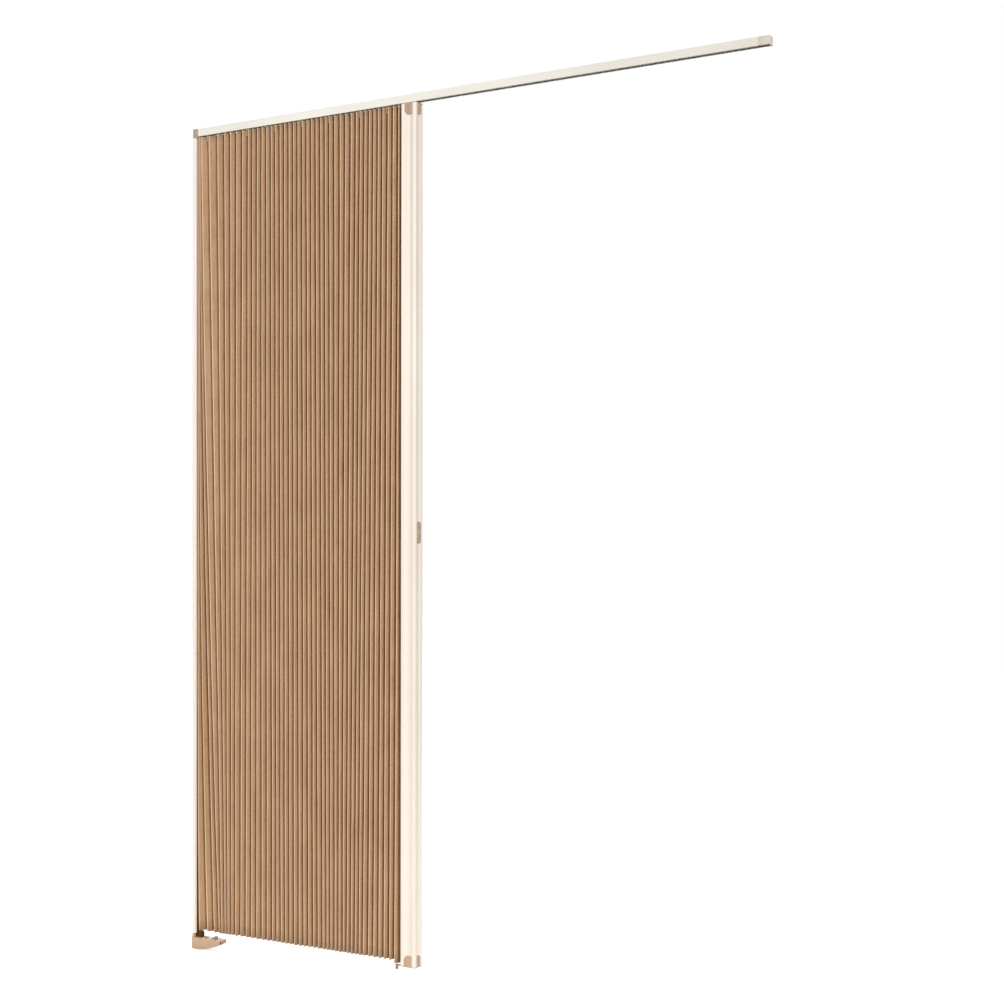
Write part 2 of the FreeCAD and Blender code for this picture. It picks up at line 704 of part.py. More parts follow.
def stile_top_cap():
    cap = stile_cap().mirror(at(0, 0, 0), Z)
    cap.translate(at(0, 0, STILE_TOP))
    bore = rod(BOLT_R + RUNNING, at(STILE_MIDDLE, 0, STILE_TOP + OVERRUN), Z * -1, BOLT_DEPTH + OVERRUN)
    return with_screw_holes(cap).cut(bore).cut(nut_prism(NUT_FLATS + 2 * SNUG, SNUG))


def nut_prism(flats, ease):
    """The hexagon of the nut in the top cap, with its flats across the rail."""
    corner = flats / 2 / math.cos(math.pi / NUT_SIDES)
    low = STILE_TOP - NUT_DEPTH - NUT_THICK - ease
    points = [
        at(STILE_MIDDLE + corner * math.cos(turn), corner * math.sin(turn), low)
        for turn in (2 * math.pi * i / NUT_SIDES for i in range(NUT_SIDES))
    ]
    return prism(points, Z * (NUT_THICK + 2 * ease))


def hanger_nut():
    bore = rod(BOLT_R + RUNNING, at(STILE_MIDDLE, 0, STILE_TOP), Z * -1, NUT_DEPTH + NUT_THICK + OVERRUN)
    return nut_prism(NUT_FLATS, 0).cut(bore)


# Catch in the stile's closing edge


def catch_screw_rod(radius):
    return rod(radius, at(STILE_FACE, 0, CATCH_Z), X * -1, CATCH_SCREW_LENGTH)


def catch_head_rod(radius):
    return rod(radius, at(STILE_FACE - SNUG, 0, CATCH_Z), X * -1, CATCH_HEAD)


def catch_plate():
    """A plate that fills the closing edge's flute, with crowned ends."""
    half = EDGE_FLUTE_WIDTH / 2 - CAP_TONGUE_INSET
    low, high = -CATCH_HEIGHT / 2, CATCH_HEIGHT / 2
    points = [
        at(half, 0, high - CATCH_CROWN),
        at(half, 0, low + CATCH_CROWN),
        at(-half, 0, low + CATCH_CROWN),
        at(-half, 0, high - CATCH_CROWN),
    ]
    right = line_edges(points[:2])
    bottom = Part.Arc(points[1], at(0, 0, low), points[2]).toShape()
    left = line_edges(points[2:])
    top = Part.Arc(points[3], at(0, 0, high), points[0]).toShape()
    plate = swept_outline(right + [bottom] + left + [top], Y * FLUTE_DEPTH)
    plate = plate.common(flute_rod(EDGE_FLUTE_WIDTH, low, high, SNUG))
    plate = on_face(plate, *EDGE)
    plate.translate(at(0, 0, CATCH_Z))
    return plate.cut(catch_screw_rod(CATCH_SCREW_R + RUNNING)).cut(catch_head_rod(CATCH_HEAD_R + RUNNING))


def catch_screw():
    shank = rod(CATCH_SCREW_R, at(STILE_FACE - SNUG, 0, CATCH_Z), X * -1, CATCH_SCREW_LENGTH - SNUG)
    return shank.fuse(catch_head_rod(CATCH_HEAD_R)).removeSplitter()


def magnets(ease):
    """Two magnets in windows of the closing wall, above and below the catch's screw."""
    face = STILE_FACE - FLUTE_DEPTH - SNUG
    return [
        block(
            (face - MAGNET_THICK - ease, face + ease),
            both(MAGNET_WIDTH / 2 + ease),
            (CATCH_Z + rise - MAGNET_LENGTH / 2 - ease, CATCH_Z + rise + MAGNET_LENGTH / 2 + ease),
        )
        for rise in both(MAGNET_OFFSET)
    ]


# Lead carriage


def axle_places():
    return both(WHEEL_BASE / 2)


def lead_carriage():
    """A block between the wheels, with a bore for the hanger bolt and one for each axle."""
    body = block(
        (STILE_MIDDLE - CARRIAGE_LENGTH / 2, STILE_MIDDLE + CARRIAGE_LENGTH / 2),
        both(CARRIAGE_WIDTH / 2),
        (RAIL_BOTTOM, CARRIAGE_TOP),
    )
    body = rounded(body, CARRIAGE_ROUND, Z)
    body = body.cut(rod(BOLT_R + SNUG, at(STILE_MIDDLE, 0, RAIL_BOTTOM - OVERRUN), Z, RAIL_HEIGHT))
    for place in axle_places():
        start = at(STILE_MIDDLE + place, -RAIL_DEPTH / 2, AXLE_Z)
        body = body.cut(rod(AXLE_R + RUNNING, start, Y, RAIL_DEPTH))
    return body


def carriage_axle(place):
    half = CARRIAGE_WIDTH / 2 + WHEEL_SIDE_GAP + WHEEL_WIDTH
    return rod(AXLE_R, at(STILE_MIDDLE + place, -half, AXLE_Z), Y, 2 * half)


def carriage_wheels(place):
    wheels = []
    for side in (-1, 1):
        start = at(STILE_MIDDLE + place, side * (CARRIAGE_WIDTH / 2 + WHEEL_SIDE_GAP), AXLE_Z)
        wheel = rod(WHEEL_R, start, Y * side, WHEEL_WIDTH)
        wheel = wheel.makeChamfer(WHEEL_CHAMFER, [e for e in wheel.Edges if e.Closed])
        bore_start = start - Y * (side * OVERRUN)
        wheels.append(wheel.cut(rod(AXLE_R + RUNNING / 2, bore_start, Y * side, WHEEL_WIDTH + 2 * OVERRUN)))
    return wheels


def hanger_bolt():
    head = rod(BOLT_HEAD_R, at(STILE_MIDDLE, 0, CARRIAGE_TOP), Z, BOLT_HEAD)
    end = STILE_TOP - BOLT_DEPTH + OVERRUN / 2
    shank = rod(BOLT_R, at(STILE_MIDDLE, 0, end), Z, CARRIAGE_TOP - end)
    return head.fuse(shank).removeSplitter()


# Stop finger under the last pleats


def arm_screw_rod(radius):
    start = at(STILE_X + ARM_SCREW_INSET, 0, STILE_BOTTOM - ARM_THICK)
    return rod(radius, start, Z, ARM_SCREW_LENGTH)


def stop_finger():
    """A flat arm under the bottom cap, with a drop-shaped finger that meets the foot's buffer."""
    x = STILE_X - FINGER_REACH
    high = STILE_BOTTOM - ARM_THICK
    low = high - FINGER_DROP
    arm = block((x, STILE_X + ARM_ROOT), both(ARM_WIDTH / 2), (high, STILE_BOTTOM))
    arm = arm.fuse(rod(ARM_WIDTH / 2, at(x, 0, high), Z, ARM_THICK))
    profile = [
        at(x, 0, high),
        at(x + FINGER_NECK_R, 0, high),
        at(x + FINGER_R, 0, high - FINGER_TAPER),
        at(x + FINGER_R, 0, low + FINGER_TIP),
        at(x + FINGER_TIP_R, 0, low),
        at(x, 0, low),
    ]
    drop = Part.Face(Part.makePolygon(profile + [profile[0]])).revolve(at(x, 0, 0), Z, FULL_TURN)
    return arm.fuse(drop).removeSplitter().cut(arm_screw_rod(ARM_SCREW_R + RUNNING))


def stop_finger_screw():
    head_start = at(STILE_X + ARM_SCREW_INSET, 0, STILE_BOTTOM - ARM_THICK)
    head = rod(ARM_SCREW_HEAD_R, head_start, Z * -1, ARM_SCREW_HEAD)
    return arm_screw_rod(ARM_SCREW_R).fuse(head).removeSplitter()


def main():
    os.makedirs("parts", exist_ok=True)
    save("head_rail", head_rail())
    save("rail_corner_block", rail_corner_block())
    save("rail_end_cap", rail_end_cap())
    save("wall_jamb", wall_jamb())
    save("jamb_cloth_strip", jamb_cloth_strip())
    save("foot", foot())
    save("foot_bracket", foot_bracket())
    save("foot_screw", foot_screw())
    save("foot_buffer", foot_buffer())
    for group in range(RUNNER_COUNT):
        save(f"pleats_{group + 1}", pleats(group))
        save(f"runner_{group + 1}", runner(group))
    save("lead_stile", lead_stile())
    save("stile_cloth_strip", stile_cloth_strip())
    save("stile_top_cap", stile_top_cap())
    save("stile_bottom_cap", stile_bottom_cap())
    heights = cap_screw_heights()
    middle = (STILE_TOP + STILE_BOTTOM) / 2
    save("top_cap_screws", *[cap_screw(z) for z in heights if z > middle])
    save("bottom_cap_screws", *[cap_screw(z) for z in heights if z < middle])
    save("catch_plate", catch_plate())
    save("catch_screw", catch_screw())
    save("catch_magnets", *magnets(0))
    save("lead_carriage", lead_carriage())
    for name, place in zip(("rear", "front"), axle_places()):
        save(f"{name}_axle", carriage_axle(place))
        save(f"{name}_wheels", *carriage_wheels(place))
    save("hanger_bolt", hanger_bolt())
    save("hanger_nut", hanger_nut())
    save("stop_finger", stop_finger())
    save("stop_finger_screw", stop_finger_screw())


main()
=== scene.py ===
import math

import bmesh
import bpy
from mathutils import Matrix, Vector, noise


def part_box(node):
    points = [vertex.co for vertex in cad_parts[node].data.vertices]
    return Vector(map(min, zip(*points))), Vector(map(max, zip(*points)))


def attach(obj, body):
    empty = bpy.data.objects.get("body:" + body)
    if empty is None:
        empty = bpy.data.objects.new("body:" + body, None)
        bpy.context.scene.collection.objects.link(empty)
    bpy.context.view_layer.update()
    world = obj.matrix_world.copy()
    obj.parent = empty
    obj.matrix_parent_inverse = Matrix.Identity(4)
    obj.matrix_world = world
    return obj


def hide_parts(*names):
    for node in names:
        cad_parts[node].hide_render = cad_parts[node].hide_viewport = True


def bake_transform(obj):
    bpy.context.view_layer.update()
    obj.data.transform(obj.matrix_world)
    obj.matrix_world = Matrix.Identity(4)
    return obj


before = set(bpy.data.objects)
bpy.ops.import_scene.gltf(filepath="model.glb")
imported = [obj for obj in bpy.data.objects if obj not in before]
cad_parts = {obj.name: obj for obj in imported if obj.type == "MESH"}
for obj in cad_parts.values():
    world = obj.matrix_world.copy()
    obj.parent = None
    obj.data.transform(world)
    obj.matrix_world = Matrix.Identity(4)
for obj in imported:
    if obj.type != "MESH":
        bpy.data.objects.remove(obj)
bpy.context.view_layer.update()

# A pleated sliding partition, half drawn out. Metres, in the frame of the CAD part: the origin is the
# middle of the rail's top face, +X runs from the wall along the rail, +Y is to the back and +Z is up.

MM = 0.001
FLOOR_Z = -2.0
WALL_X = -0.75

# The pleated sheet: runs of pleats that stand alike under the rail, each with its pitch against the mean
STRETCH_COUNTS = (3, 3, 4, 5, 14, 4, 6, 4)
STRETCH_SHARES = (0.16, 1.66, 1.33, 0.99, 0.94, 1.11, 0.87, 1.02)
PLEAT_SHARES = [s for count, s in zip(STRETCH_COUNTS, STRETCH_SHARES) for _ in range(count)]
PLEATS = len(PLEAT_SHARES)
PANEL = 18.8 * MM  # the cloth between two folds
TAB = 3.4 * MM  # what the strip at each end of the sheet holds
STRIP_GAP = 0.6 * MM
FRONT_FOLD_SHARE = 0.25  # where a pleat's front fold lies in its pitch
CLOTH_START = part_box("jamb_cloth_strip")[1].x + STRIP_GAP
CLOTH_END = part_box("lead_stile")[0].x - STRIP_GAP
RAIL_GAP = 1.7 * MM
CLOTH_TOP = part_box("head_rail")[0].z - RAIL_GAP
CLOTH_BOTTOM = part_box("pleats_1")[0].z
CLOTH_HEIGHT = CLOTH_TOP - CLOTH_BOTTOM
CLOTH_THICK = 0.45 * MM
FLAT_WIDTH = 2 * PLEATS * PANEL + 2 * TAB
# Where front folds hang at the bottom, in mm from the wall: the first pleats lean away from the jamb
HEM_PLACES = (
    (0, 18.5), (1, 44.8), (2, 67.2), (3, 82.6), (6, 110.5), (8, 133.9), (15, 247.8), (19, 299.6),
    (26, 397.4), (36, 512.5), (42, 599.8), (42.5, 608.4),
)
# Front folds pulled to the left under the rail, in mm from the wall: their panels lie almost flat
PULLED_FOLDS = {3: 22.0, 4: 45.0}
LEAN_EASES = (4.0, 2.4, 1.5, 1.3)  # the first pleats stay gathered at the jamb for longer
ROWS = 64
# Stations across a panel: close at its folds, where the cloth rounds over
STATIONS = (0, 0.03, 0.09, 0.3, 0.5, 0.7, 0.91, 0.97, 1)
LEFT_CUT, RIGHT_CUT = 3, 5  # the stations at which the cloth held by a runner's plate ends
FOLD_SPACING = 0.8 * MM  # the least way along the rail between two folds
LEAST_DEPTH = 0.25  # of a panel's width, for a panel that lies almost flat
FOLD_ROUND = 1.7 * MM
FOLD_PULL = 0.3 * MM
PANEL_BOW = 0.5 * MM
FOLD_WANDER = 0.9 * MM
FOLD_RIPPLE = 0.45 * MM
FADE_IN = 0.06  # the share of the height over which the runners still hold the folds in place
HELD_ROWS = 2  # rows at the top in which the cloth keeps its shape round the runners' plates
HELD_HALF = 2 * MM
LEAST_BLEND = 1e-6  # keeps a blend finite where both its ends go equally far
WELD = 0.02 * MM
HEM_LOW = 1 * MM
HEM_RISE = 5 * MM
HEM_WAVE = 0.6 * MM
HEM_END_STRIPS = 4  # the last panels, which hang down to the stile's strip
# Every fold, panel and length of hem has its own lane through the noise that bends it
PLEAT_LANE, HALF_LANE = 3.7, 5.1
WANDER_BENDS, WANDER_SEED = 5, 0.3
RIPPLE_BENDS, RIPPLE_SEED = 22, 9.3
BOW_LANE, BOW_BENDS, BOW_SEED = 2.3, 0.11, 4.1
HEM_LANE, HEM_SEED = 0.9, 7.7


# Colours and nodes


def linear(hex_code):
    """An sRGB hex colour as linear RGBA."""
    parts = [int(hex_code[i:i + 2], 16) / 255 for i in (0, 2, 4)]
    return (*(c / 12.92 if c <= 0.04045 else ((c + 0.055) / 1.055) ** 2.4 for c in parts), 1)


def add(tree, kind, inputs=None, **settings):
    """Adds a node with its settings, and sets or links its inputs by name or number."""
    node = tree.nodes.new(kind)
    for name, value in settings.items():
        setattr(node, name, value)
    for name, value in (inputs or {}).items():
        if isinstance(value, bpy.types.NodeSocket):
            tree.links.new(value, node.inputs[name])
        else:
            node.inputs[name].default_value = value
    return node


def new_finish(name):
    """An empty material, its node tree and its Object coordinates."""
    material = bpy.data.materials.new(name)
    material.use_nodes = True
    tree = material.node_tree
    tree.nodes.clear()
    return material, tree, add(tree, "ShaderNodeTexCoord").outputs["Object"]


def close_finish(tree, shader):
    """Puts the finished shader on the material's surface."""
    add(tree, "ShaderNodeOutputMaterial", {"Surface": shader.outputs[0]})


# Finishes


def baked_enamel(name, colour, shade, along):
    """Polyester enamel baked on extruded aluminium: an even satin gloss with a soft orange peel, and
    faint lines that the die drew along the length."""
    material, tree, place = new_finish(name)
    across, run = 1 / (3 * MM), 1 / (400 * MM)  # die lines are finer than this: drawn 3 mm wide to show
    scale = [across] * 3
    scale[along] = run
    drawn = add(tree, "ShaderNodeMapping", {"Vector": place, "Scale": scale}).outputs[0]
    lines = add(tree, "ShaderNodeTexNoise", {"Vector": drawn, "Scale": 1.0, "Detail": 3.0}).outputs[0]
    cloud = add(tree, "ShaderNodeTexNoise", {
        "Vector": place, "Scale": 1 / (250 * MM), "Detail": 2.0,
    }).outputs[0]
    peel = add(tree, "ShaderNodeTexNoise", {
        "Vector": place, "Scale": 1 / (2.5 * MM), "Detail": 2.0,
    }).outputs[0]
    mixed = add(tree, "ShaderNodeMath", {
        0: lines, 1: 0.35, 2: cloud,
    }, operation="MULTIPLY_ADD").outputs[0]
    tint = add(tree, "ShaderNodeMapRange", {0: mixed, 1: 0.4, 2: 0.95}).outputs[0]
    paint = add(tree, "ShaderNodeMix", {0: tint, 6: linear(colour), 7: linear(shade)}, data_type="RGBA")
    gloss = add(tree, "ShaderNodeMapRange", {0: mixed, 1: 0.3, 2: 1.1, 3: 0.32, 4: 0.46}).outputs[0]
    relief = add(tree, "ShaderNodeMath", {
        0: lines, 1: 0.5, 2: peel,
    }, operation="MULTIPLY_ADD").outputs[0]
    bump = add(tree, "ShaderNodeBump", {"Height": relief, "Strength": 0.25, "Distance": 0.05 * MM})
    close_finish(tree, add(tree, "ShaderNodeBsdfPrincipled", {
        "Base Color": paint.outputs[2], "Roughness": gloss, "IOR": 1.5, "Normal": bump.outputs[0],
    }))
    return material


def moulded_plastic(name, colour, shade, roughness, grain_mm, shine=0.5):
    """Injection-moulded plastic from a spark-eroded mould: a fine even grain that breaks up the gloss,
    and a slight cloudiness where the melt flowed."""
    material, tree, place = new_finish(name)
    grain = add(tree, "ShaderNodeTexNoise", {
        "Vector": place, "Scale": 1 / (grain_mm * MM), "Detail": 2.0, "Roughness": 0.6,
    }).outputs[0]
    flow = add(tree, "ShaderNodeTexNoise", {
        "Vector": place, "Scale": 1 / (14 * MM), "Detail": 3.0, "Distortion": 0.8,
    }).outputs[0]
    mixed = add(tree, "ShaderNodeMath", {0: grain, 1: 0.4, 2: flow}, operation="MULTIPLY_ADD").outputs[0]
    tint = add(tree, "ShaderNodeMapRange", {0: mixed, 1: 0.45, 2: 0.95}).outputs[0]
    paint = add(tree, "ShaderNodeMix", {0: tint, 6: linear(colour), 7: linear(shade)}, data_type="RGBA")
    gloss = add(tree, "ShaderNodeMapRange", {
        0: mixed, 1: 0.4, 2: 1.0, 3: roughness - 0.06, 4: roughness + 0.08,
    }).outputs[0]
    bump = add(tree, "ShaderNodeBump", {"Height": grain, "Strength": 0.35, "Distance": 0.08 * MM})
    close_finish(tree, add(tree, "ShaderNodeBsdfPrincipled", {
        "Base Color": paint.outputs[2], "Roughness": gloss, "IOR": 1.5, "Specular IOR Level": shine,
        "Normal": bump.outputs[0],
    }))
    return material


def plated_steel(name, colour, shade, roughness, metallic):
    """Plated or blackened steel: a metal sheen with short streaks from tumbling and handling."""
    material, tree, place = new_finish(name)
    drawn = add(tree, "ShaderNodeMapping", {
        "Vector": place, "Scale": (1 / (0.5 * MM), 1 / (0.5 * MM), 1 / (4 * MM)),
    }).outputs[0]
    streaks = add(tree, "ShaderNodeTexNoise", {"Vector": drawn, "Scale": 1.0, "Detail": 4.0}).outputs[0]
    tint = add(tree, "ShaderNodeMapRange", {0: streaks, 1: 0.3, 2: 0.7}).outputs[0]
    paint = add(tree, "ShaderNodeMix", {0: tint, 6: linear(colour), 7: linear(shade)}, data_type="RGBA")
    gloss = add(tree, "ShaderNodeMapRange", {
        0: streaks, 1: 0.3, 2: 0.7, 3: roughness - 0.06, 4: roughness + 0.1,
    }).outputs[0]
    bump = add(tree, "ShaderNodeBump", {"Height": streaks, "Strength": 0.2, "Distance": 0.03 * MM})
    close_finish(tree, add(tree, "ShaderNodeBsdfPrincipled", {
        "Base Color": paint.outputs[2], "Metallic": metallic, "Roughness": gloss,
        "Normal": bump.outputs[0],
    }))
    return material


def pressed_cloth(name, dark, light, highlight_and_wear_colour):
    """Woven polyester, pressed into sharp pleats: slubs in the upright threads read as a fine wood
    grain, the threads across show as a faint rib, and the outer folds are painted paler, partly as
    rubbed wear and partly as a painted highlight."""
    material, tree, _ = new_finish(name)
    uv = add(tree, "ShaderNodeUVMap", uv_map="cut").outputs[0]
    flat = add(tree, "ShaderNodeMapping", {
        "Vector": uv, "Scale": (FLAT_WIDTH, CLOTH_HEIGHT, 1),
    }).outputs[0]
    # Threads lie 0.4 mm apart: drawn 1.4 mm wide, in slubs 60 mm long, so that they show
    slub_scale = (1 / (1.4 * MM), 1 / (60 * MM), 1)
    slubs = add(tree, "ShaderNodeMapping", {"Vector": flat, "Scale": slub_scale}).outputs[0]
    slub = add(tree, "ShaderNodeTexNoise", {
        "Vector": slubs, "Scale": 1.0, "Detail": 4.0, "Roughness": 0.6,
    }).outputs[0]
    rib_scale = (1 / (25 * MM), 1 / (2.2 * MM), 1)
    ribs = add(tree, "ShaderNodeMapping", {"Vector": flat, "Scale": rib_scale}).outputs[0]
    rib = add(tree, "ShaderNodeTexNoise", {"Vector": ribs, "Scale": 1.0, "Detail": 3.0}).outputs[0]
    dye = add(tree, "ShaderNodeTexNoise", {
        "Vector": flat, "Scale": 1 / (120 * MM), "Detail": 3.0,
    }).outputs[0]
    weave = add(tree, "ShaderNodeMath", {0: rib, 1: 0.55, 2: slub}, operation="MULTIPLY_ADD").outputs[0]
    yarn = add(tree, "ShaderNodeMath", {0: dye, 1: 0.5, 2: weave}, operation="MULTIPLY_ADD").outputs[0]
    tint = add(tree, "ShaderNodeMapRange", {0: yarn, 1: 0.75, 2: 1.3}).outputs[0]
    body = add(tree, "ShaderNodeMix", {
        0: tint, 6: linear(dark), 7: linear(light),
    }, data_type="RGBA").outputs[2]
    # How far a point lies from the nearest front fold on the front side, or back fold on the back side
    across = add(tree, "ShaderNodeSeparateXYZ", {0: flat}).outputs[0]
    pleat = add(tree, "ShaderNodeMath", {
        0: across, 1: 1 / (2 * PANEL), 2: -TAB / (2 * PANEL) - FRONT_FOLD_SHARE,
    }, operation="MULTIPLY_ADD").outputs[0]
    normal = add(tree, "ShaderNodeTexCoord").outputs["Normal"]
    facing = add(tree, "ShaderNodeSeparateXYZ", {0: normal}).outputs[1]
    behind = add(tree, "ShaderNodeMath", {0: facing, 1: 0.0}, operation="GREATER_THAN").outputs[0]
    outer = add(tree, "ShaderNodeMath", {
        0: behind, 1: 0.5, 2: pleat,
    }, operation="MULTIPLY_ADD").outputs[0]
    off_fold = add(tree, "ShaderNodeMath", {0: outer, 1: 0.5}, operation="PINGPONG").outputs[0]
    # The paler outer folds are partly rubbed wear and partly a painted highlight: the light that their
    # rounded edges catch
    fold_highlight_and_wear = add(tree, "ShaderNodeMapRange", {
        0: off_fold, 1: 0.8 * MM / (2 * PANEL), 2: 3.0 * MM / (2 * PANEL), 3: 0.8, 4: 0.0,
    }, interpolation_type="SMOOTHSTEP").outputs[0]
    colour = add(tree, "ShaderNodeMix", {
        0: fold_highlight_and_wear, 6: body, 7: linear(highlight_and_wear_colour),
    }, data_type="RGBA").outputs[2]
    bump = add(tree, "ShaderNodeBump", {"Height": weave, "Strength": 0.5, "Distance": 0.2 * MM})
    close_finish(tree, add(tree, "ShaderNodeBsdfPrincipled", {
        "Base Color": colour, "Roughness": 0.85, "Specular IOR Level": 0.2, "Normal": bump.outputs[0],
        "Sheen Weight": 0.15, "Sheen Roughness": 0.5,
    }))
    return material


stile_enamel = baked_enamel("cream_enamel_upright", "F3E9DD", "EDE1D3", 2)
rail_enamel = baked_enamel("ivory_enamel_rail", "ECE8DD", "E4DFD2", 0)
tan_plastic = moulded_plastic("tan_nylon", "C4A48A", "B4957B", 0.55, 0.8)
block_plastic = moulded_plastic("grey_tan_nylon", "B09D8A", "A08C77", 0.55, 0.8)
cap_plastic = moulded_plastic("pale_tan_nylon", "E2D9CE", "D8CEC1", 0.5, 0.8)
# Painted shade: this dark brown, with little gloss, stands in for the shadow in the gaps beside the jamb
# and the stile and in and beside the foot
shade_brown_plastic = moulded_plastic("shade_brown_polypropylene", "503617", "3C270E", 0.65, 0.7, 0.12)
beige_plastic = moulded_plastic("beige_acetal", "DCCDB4", "CFBEA3", 0.42, 0.6)
taupe_plastic = moulded_plastic("taupe_nylon", "B5A58C", "A5957A", 0.5, 0.7)
rubber = moulded_plastic("grey_rubber", "8F857A", "7D7368", 0.75, 0.5)
zinc = plated_steel("zinc_plated_steel", "D6D5D0", "BDBCB6", 0.4, 1.0)
nickel = plated_steel("bright_nickel_steel", "F2F0EB", "E2DFD8", 0.35, 1.0)
finger_steel = plated_steel("grey_painted_steel", "8A8580", "746F6A", 0.45, 0.3)
magnet = plated_steel("ground_ferrite", "4A4A4C", "3A3A3C", 0.5, 0.6)
# The third colour is the outer folds' painted highlight and wear
cloth = pressed_cloth("pleated_polyester_cloth", "A47D59", "C4A280", "EACEB1")

CAD_FINISHES = {
    "head_rail": rail_enamel,
    "wall_jamb": stile_enamel,
    "lead_stile": stile_enamel,
    # The cloth strips take the painted shade brown, for the dark gaps between the jamb, the stile and
    # the cloth
    "jamb_cloth_strip": shade_brown_plastic,
    "stile_cloth_strip": shade_brown_plastic,
    "top_cap_screws": zinc,
    "bottom_cap_screws": zinc,
    "catch_magnets": magnet,
    "lead_carriage": beige_plastic,
    "rear_axle": zinc,
    "rear_wheels": beige_plastic,
    "front_axle": zinc,
    "front_wheels": beige_plastic,
    "hanger_bolt": zinc,
    "hanger_nut": zinc,
}
RUNNERS = [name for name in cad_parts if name.startswith("runner_")]
SHEET_NODES = [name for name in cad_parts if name.startswith("pleats_")]
for runner in RUNNERS:
    CAD_FINISHES[runner] = beige_plastic
for node, finish in CAD_FINISHES.items():
    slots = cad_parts[node].data.materials
    slots.clear()
    slots.append(finish)


def new_piece(name, bm, finish, smooth_degrees):
    """A finished mesh as an object, shaded smooth but for its sharper edges."""
    mesh = bpy.data.meshes.new(name)
    bm.to_mesh(mesh)
    bm.free()
    mesh.materials.append(finish)
    mesh.shade_smooth()
    mesh.set_sharp_from_angle(angle=math.radians(smooth_degrees))
    piece = bpy.data.objects.new(name, mesh)
    bpy.context.collection.objects.link(piece)
    return piece


# The pleated sheet


def hem_place(pleat):
    """Where a place along the sheet, in pleats from its first front fold, hangs at the bottom."""
    for (low, a), (high, b) in zip(HEM_PLACES, HEM_PLACES[1:]):
        if pleat <= high:
            return WALL_X + (a + (b - a) * (pleat - low) / (high - low)) * MM
    return CLOTH_END


def fold_line(drop):
    """The sheet in plan at a share of its height from the top: (x, side) for its ends and folds."""
    share_pitch = (CLOTH_END - CLOTH_START) / sum(PLEAT_SHARES)
    folds = []
    left = CLOTH_START
    for pleat, share in enumerate(PLEAT_SHARES):
        pitch = share_pitch * share
        ease = LEAN_EASES[pleat] if pleat < len(LEAN_EASES) else 1.0
        for half, side in ((0, -1), (0.5, 1)):
            top = left + pitch * (FRONT_FOLD_SHARE + half)
            if half == 0 and pleat in PULLED_FOLDS:
                top = WALL_X + PULLED_FOLDS[pleat] * MM
            x = top + (hem_place(pleat + half) - top) * drop ** ease
            hold = min(1, drop / FADE_IN)
            lane = pleat * PLEAT_LANE + half * HALF_LANE
            x += FOLD_WANDER * hold * noise.noise(Vector((lane, drop * WANDER_BENDS, WANDER_SEED)))
            x += FOLD_RIPPLE * hold * noise.noise(Vector((lane, drop * RIPPLE_BENDS, RIPPLE_SEED)))
            folds.append((x, side))
        left += pitch
    line = [(CLOTH_START - TAB, 0), (CLOTH_START, 0)]
    for x, side in folds:
        line.append((max(x, line[-1][0] + FOLD_SPACING), side))
    return line + [(CLOTH_END, 0), (CLOTH_END + TAB, 0)]


def panel_depth(a, b, width):
    """How far apart across the rail two folds stand whose panel has this width."""
    return math.sqrt(max(width ** 2 - (b - a) ** 2, (LEAST_DEPTH * width) ** 2))


def sheet_plan(drop):
    """The ends and folds of the sheet as points in plan; every panel keeps its width."""
    line = fold_line(drop)
    depths = []
    for (a, side_a), (b, side_b) in zip(line, line[1:]):
        whole = side_a and side_b
        depths.append(panel_depth(a, b, PANEL) if whole else 2 * panel_depth(a, b, PANEL / 2))
    points = []
    for i, (x, side) in enumerate(line):
        y = side * (depths[i - 1] + depths[i]) / 4 if side else 0
        points.append((Vector((x, y, 0)), side))
    return points


PLANS = [sheet_plan(row / ROWS) for row in range(ROWS + 1)]
STRIPS = len(PLANS[0]) - 1
RUNNER_PLACES = [sum(corner.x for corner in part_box(runner)) / 2 for runner in RUNNERS]
RUNNER_FOLDS = [
    i for i, (fold, side) in enumerate(PLANS[0])
    if side > 0 and min(abs(fold.x - x) for x in RUNNER_PLACES) < HELD_HALF / 2
]


def stations(strip):
    """The stations of a panel; one of them ends the cloth that a runner's plate holds."""
    places = list(STATIONS)
    (a, _), (b, _) = PLANS[0][strip], PLANS[0][strip + 1]
    if strip in RUNNER_FOLDS:
        places[LEFT_CUT] = HELD_HALF / (b.x - a.x)
    if strip + 1 in RUNNER_FOLDS:
        places[RIGHT_CUT] = 1 - HELD_HALF / (b.x - a.x)
    return places


def strip_width(strip):
    """How wide a panel lies flat: a tab in a strip, a half panel beside it, or a whole one."""
    if strip in (0, STRIPS - 1):
        return TAB
    return PANEL / 2 if strip in (1, STRIPS - 2) else PANEL


def hem_height(strip, share, x):
    """How high the sheet's lower edge hangs above its lowest line."""
    along = (x - CLOTH_START) / (CLOTH_END - CLOTH_START)
    last = max(0, min(1, strip + share - (STRIPS - HEM_END_STRIPS)))
    wave = HEM_WAVE * noise.noise(Vector(((strip + share) * HEM_LANE, HEM_SEED, 0)))
    return (HEM_LOW + HEM_RISE * along) * (1 - last) + wave


def cloth_point(strip, station, row):
    """A point of a panel: between its two folds, rounded over at each and slightly bowed."""
    share = stations(strip)[station]
    (a, side_a), (b, side_b) = PLANS[row][strip], PLANS[row][strip + 1]
    width = strip_width(strip)
    point = a.lerp(b, share)
    for side, off in ((side_a, share), (side_b, 1 - share)):
        point.y -= side * FOLD_PULL * max(0, 1 - off * width / FOLD_ROUND) ** 2
    if side_a and side_b:
        run = (b - a).normalized()
        bow = PANEL_BOW * noise.noise(Vector((strip * BOW_LANE, row * BOW_BENDS, BOW_SEED)))
        point += Vector((-run.y, run.x, 0)) * bow * math.sin(math.pi * share)
    drop = row / ROWS
    point.z = CLOTH_TOP - drop * (CLOTH_HEIGHT - hem_height(strip, share, point.x))
    return point


